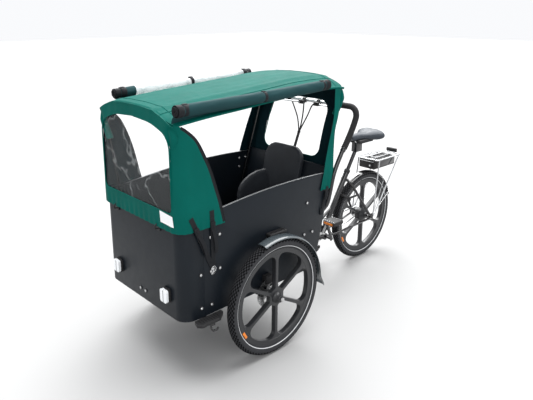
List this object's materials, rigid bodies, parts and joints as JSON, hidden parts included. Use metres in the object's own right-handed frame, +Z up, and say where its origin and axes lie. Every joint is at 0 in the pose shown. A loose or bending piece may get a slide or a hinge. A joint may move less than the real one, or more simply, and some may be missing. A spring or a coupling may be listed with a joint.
{
  "type": "cargo bicycle",
  "caption": "Three-wheeled cargo bicycle with a black front box, a green fabric canopy, moulded six-spoke wheels, a hoop handlebar and a rear rack.",
  "frame": {"origin": "centre of the bounding box, on the ground under the bicycle", "axes": "+X to the rider's left, -Y forwards towards the front wheels, +Z up"},
  "size_m": [0.906, 2.1154, 1.342],
  "materials": {
    "box_panel": "charcoal-black coated panel, satin",
    "black_paint": "black powder coat",
    "gloss_black": "glossy black moulding",
    "matte_black": "matte black moulding",
    "foam_black": "black foam rubber",
    "tyre_rubber": "dark rubber with a pale reflective line",
    "wheel_grey": "dark grey satin moulded wheel",
    "canopy_green": "teal-green coated canvas",
    "clear_film": "clear flexible film",
    "lens_white": "white frosted lens",
    "aluminium": "bright satin aluminium",
    "steel": "stainless steel",
    "seat_grey": "dark grey upholstery",
    "saddle_slate": "slate grey saddle cover",
    "lamp_red": "red lens"
  },
  "bodies": {
    "front_module": {"box_front_panel": "box_panel", "box_left_panel": "box_panel", "box_right_panel": "box_panel", "box_rear_panel": "box_panel", "box_floor": "box_panel", "bench": "box_panel", "bench_cushion": "seat_grey", "centre_divider": "seat_grey", "backrest": "seat_grey", "left_upper_step": "matte_black", "right_upper_step": "matte_black", "left_lower_step": "matte_black", "right_lower_step": "matte_black", "left_headlight": "lens_white", "right_headlight": "lens_white", "chassis": "black_paint", "left_mudguard": "gloss_black", "right_mudguard": "gloss_black", "left_brake_caliper": "matte_black", "right_brake_caliper": "matte_black", "canopy_roof": "canopy_green", "canopy_front": "canopy_green", "front_window": "clear_film", "canopy_rear": "canopy_green", "left_side_roll": "canopy_green", "right_side_roll": "canopy_green", "canopy_poles": "black_paint", "handlebar_stems": "black_paint", "handlebar": "aluminium", "left_grip": "foam_black", "right_grip": "foam_black", "left_brake_perch": "matte_black", "right_brake_perch": "matte_black", "cable_bundle": "matte_black"},
    "left_wheel": {"front_left_tyre": "tyre_rubber", "front_left_wheel": "wheel_grey", "left_brake_disc": "steel"},
    "right_wheel": {"front_right_tyre": "tyre_rubber", "front_right_wheel": "wheel_grey", "right_brake_disc": "steel"},
    "left_lever": {"left_brake_lever": "aluminium"},
    "right_lever": {"right_brake_lever": "aluminium"},
    "shifter": {"gear_shifter": "matte_black"},
    "rear_module": {"rear_frame": "black_paint", "seat_collar": "matte_black", "chain": "steel", "rear_mudguard": "gloss_black", "rack": "aluminium", "rear_light": "lamp_red", "ring_lock": "matte_black"},
    "seat": {"seatpost": "black_paint", "saddle": "saddle_slate"},
    "rear_wheel_body": {"rear_tyre": "tyre_rubber", "rear_wheel": "wheel_grey"},
    "crank": {"crankset": "black_paint"},
    "left_pedal_body": {"left_pedal": "matte_black"},
    "right_pedal_body": {"right_pedal": "matte_black"},
    "sprocket": {"rear_sprocket": "steel"},
    "battery_body": {"battery": "matte_black"},
    "clamp": {"rack_clamp": "steel"}
  },
  "joints": [
    {"name": "steering", "type": "hinge", "parent": "front_module", "child": "rear_module", "pos_m": [0, -0.3793, 0.226], "axis": [0, 0, 1], "range_deg": [-35, 35]},
    {"name": "left_wheel_spin", "type": "hinge", "parent": "front_module", "child": "left_wheel", "pos_m": [0.4, -0.5293, 0.3035], "axis": [1, 0, 0], "continuous": true},
    {"name": "right_wheel_spin", "type": "hinge", "parent": "front_module", "child": "right_wheel", "pos_m": [-0.4, -0.5293, 0.3035], "axis": [1, 0, 0], "continuous": true},
    {"name": "rear_wheel_spin", "type": "hinge", "parent": "rear_module", "child": "rear_wheel_body", "pos_m": [0, 0.7207, 0.3035], "axis": [1, 0, 0], "continuous": true},
    {"name": "crank_turn", "type": "hinge", "parent": "rear_module", "child": "crank", "pos_m": [0, 0.3007, 0.265], "axis": [1, 0, 0], "continuous": true},
    {"name": "sprocket_turn", "type": "hinge", "parent": "rear_module", "child": "sprocket", "pos_m": [-0.055, 0.7207, 0.3035], "axis": [1, 0, 0], "continuous": true},
    {"name": "left_pedal_turn", "type": "hinge", "parent": "crank", "child": "left_pedal_body", "pos_m": [0.081, 0.2419, 0.4106], "axis": [1, 0, 0], "continuous": true},
    {"name": "right_pedal_turn", "type": "hinge", "parent": "crank", "child": "right_pedal_body", "pos_m": [-0.081, 0.3595, 0.1194], "axis": [1, 0, 0], "continuous": true},
    {"name": "saddle_height", "type": "slide", "parent": "rear_module", "child": "seat", "axis": [0, 0.527, 0.8499], "range_m": [-0.08, 0.06]},
    {"name": "battery_slide", "type": "slide", "parent": "rear_module", "child": "battery_body", "axis": [0, 1, 0], "range_m": [0, 0.25]},
    {"name": "rack_clamp_lift", "type": "hinge", "parent": "rear_module", "child": "clamp", "pos_m": [0, 0.8007, 0.7024], "axis": [1, 0, 0], "range_deg": [0, 50], "stiffness_Nm_per_rad": 0.4, "springref_deg": -17.19},
    {"name": "left_brake_squeeze", "type": "hinge", "parent": "front_module", "child": "left_lever", "pos_m": [0.069, 0.1407, 1.145], "axis": [0, 0, 1], "range_deg": [0, 11], "stiffness_Nm_per_rad": 1, "springref_deg": -5.73},
    {"name": "right_brake_squeeze", "type": "hinge", "parent": "front_module", "child": "right_lever", "pos_m": [-0.069, 0.1407, 1.145], "axis": [0, 0, -1], "range_deg": [0, 11], "stiffness_Nm_per_rad": 1, "springref_deg": -5.73},
    {"name": "gear_twist", "type": "hinge", "parent": "front_module", "child": "shifter", "pos_m": [-0.18, 0.1707, 1.155], "axis": [1, 0, 0], "range_deg": [-60, 60]}
  ],
  "couplings": [
    {"joint": "sprocket_turn", "follows": "crank_turn", "ratio": 2.1099}
  ]
}
